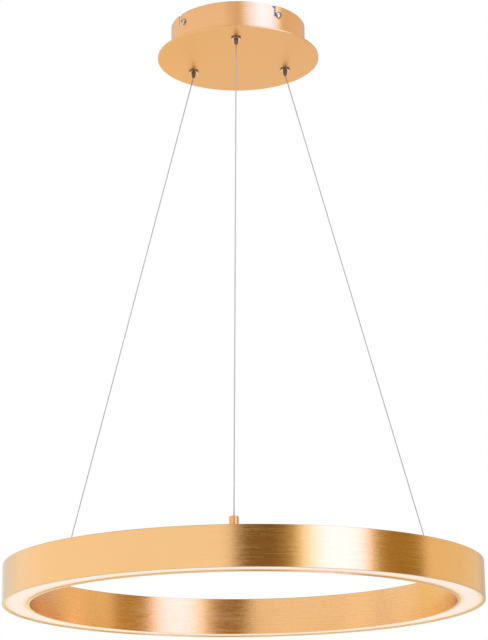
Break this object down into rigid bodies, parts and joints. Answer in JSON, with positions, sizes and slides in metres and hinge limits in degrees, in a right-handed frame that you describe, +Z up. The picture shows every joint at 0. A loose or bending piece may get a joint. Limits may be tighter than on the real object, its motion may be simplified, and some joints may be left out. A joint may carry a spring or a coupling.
{
  "type": "led ring pendant light",
  "caption": "Brushed gold LED ring lamp with an opal diffuser underneath, hung on thin wires from a round canopy with push-release wire grippers.",
  "frame": {"origin": "on the ceiling plane, at the canopy's axis and the centre of the bracket's two screw slots", "axes": "+Z up into the ceiling, so the lamp hangs along -Z; -Y towards the wire that is nearest the viewer"},
  "size_m": [0.5, 0.5, 0.65],
  "materials": {
    "brushed_gold": "brushed gold anodised, grain round the ring",
    "gold_canopy": "satin gold",
    "nickel": "polished nickel",
    "zinc_steel": "zinc plated",
    "opal_diffuser": "opal, lit warm white",
    "wire_sheath": "pale translucent insulation on steel strand",
    "white_board": "white solder mask",
    "led_phosphor": "yellow phosphor",
    "tinned_copper": "tinned copper",
    "black_rubber": "matt",
    "white_plastic": "fine moulded grain",
    "pcb_green": "solder mask",
    "dark_parts": "moulded",
    "brown_lead": "insulation",
    "blue_lead": "insulation",
    "green_yellow_lead": "insulation, green with a yellow stripe",
    "red_lead": "insulation",
    "black_lead": "insulation"
  },
  "bodies": {
    "canopy": {"canopy_cup": "gold_canopy", "canopy_plate": "gold_canopy", "gripper_body_1": "nickel", "gripper_body_2": "nickel", "gripper_body_3": "nickel", "gripper_caps": "nickel", "side_screws": "nickel", "ceiling_bracket": "zinc_steel", "gripper_washers": "zinc_steel", "gripper_nuts": "zinc_steel", "driver_studs": "zinc_steel", "driver_nuts": "zinc_steel", "terminal_screws": "zinc_steel", "terminal_fixing_screw": "zinc_steel", "earth_screw": "zinc_steel", "gripper_spring_1": "zinc_steel", "gripper_spring_2": "zinc_steel", "gripper_spring_3": "zinc_steel", "wire_tail_1": "wire_sheath", "wire_tail_2": "wire_sheath", "wire_tail_3": "wire_sheath", "earth_tag": "tinned_copper", "lead_crimps": "tinned_copper", "cable_bush": "black_rubber", "driver_case": "white_plastic", "driver_lid": "white_plastic", "terminal_block": "white_plastic", "driver_board": "pcb_green", "driver_components": "dark_parts", "live_lead": "brown_lead", "neutral_lead": "blue_lead", "earth_lead": "green_yellow_lead", "positive_lead": "red_lead", "negative_lead": "black_lead"},
    "plunger_1": {"gripper_plunger_1": "nickel", "gripper_balls_1": "zinc_steel"},
    "plunger_2": {"gripper_plunger_2": "nickel", "gripper_balls_2": "zinc_steel"},
    "plunger_3": {"gripper_plunger_3": "nickel", "gripper_balls_3": "zinc_steel"},
    "wire_1": {"suspension_wire_1": "wire_sheath"},
    "wire_2": {"suspension_wire_2": "wire_sheath"},
    "wire_3": {"suspension_wire_3": "wire_sheath"},
    "wire_end": {"wire_ferrule_1": "zinc_steel"},
    "ring": {"ring_channel": "brushed_gold", "diffuser": "opal_diffuser", "led_boards": "white_board", "led_chips": "led_phosphor", "led_board_screws": "zinc_steel", "board_links": "tinned_copper", "wire_anchor_1": "brushed_gold", "wire_anchor_2": "brushed_gold", "wire_anchor_3": "brushed_gold", "anchor_nuts": "zinc_steel", "wire_ferrule_2": "zinc_steel", "wire_ferrule_3": "zinc_steel", "led_lead_positive": "red_lead", "led_lead_negative": "black_lead"}
  },
  "joints": [
    {"name": "gripper_release_1", "type": "slide", "parent": "canopy", "child": "plunger_1", "axis": [0, 0, 1], "range_m": [0, 0.003], "stiffness_N_per_m": 300, "springref_m": -0.004, "deforming": ["gripper_spring_1"]},
    {"name": "gripper_release_2", "type": "slide", "parent": "canopy", "child": "plunger_2", "axis": [0, 0, 1], "range_m": [0, 0.003], "stiffness_N_per_m": 300, "springref_m": -0.004, "deforming": ["gripper_spring_2"]},
    {"name": "gripper_release_3", "type": "slide", "parent": "canopy", "child": "plunger_3", "axis": [0, 0, 1], "range_m": [0, 0.003], "stiffness_N_per_m": 300, "springref_m": -0.004, "deforming": ["gripper_spring_3"]},
    {"name": "ring_sway", "type": "hinge", "parent": "canopy", "child": "wire_1", "pos_m": [0, -0.06, -0.0436], "axis": [0, 1, 0], "range_deg": [-10, 10]},
    {"name": "wire_2_sway", "type": "hinge", "parent": "canopy", "child": "wire_2", "pos_m": [0.05196, 0.03, -0.0436], "axis": [0, 1, 0], "range_deg": [-10, 10]},
    {"name": "wire_3_sway", "type": "hinge", "parent": "canopy", "child": "wire_3", "pos_m": [-0.05196, 0.03, -0.0436], "axis": [0, 1, 0], "range_deg": [-10, 10]},
    {"name": "ring_height", "type": "slide", "parent": "wire_1", "child": "wire_end", "axis": [0, 0, 1], "range_m": [0, 0.25], "deforming": ["suspension_wire_1", "suspension_wire_2", "suspension_wire_3"]},
    {"name": "ring_tilt", "type": "hinge", "parent": "wire_end", "child": "ring", "pos_m": [0, -0.24, -0.6052], "axis": [0, 1, 0], "range_deg": [-2.6, 2.6]}
  ],
  "couplings": [
    {"joint": "wire_2_sway", "follows": "ring_sway", "ratio": 1},
    {"joint": "wire_3_sway", "follows": "ring_sway", "ratio": 1},
    {"joint": "ring_tilt", "follows": "ring_sway", "ratio": -0.25}
  ]
}
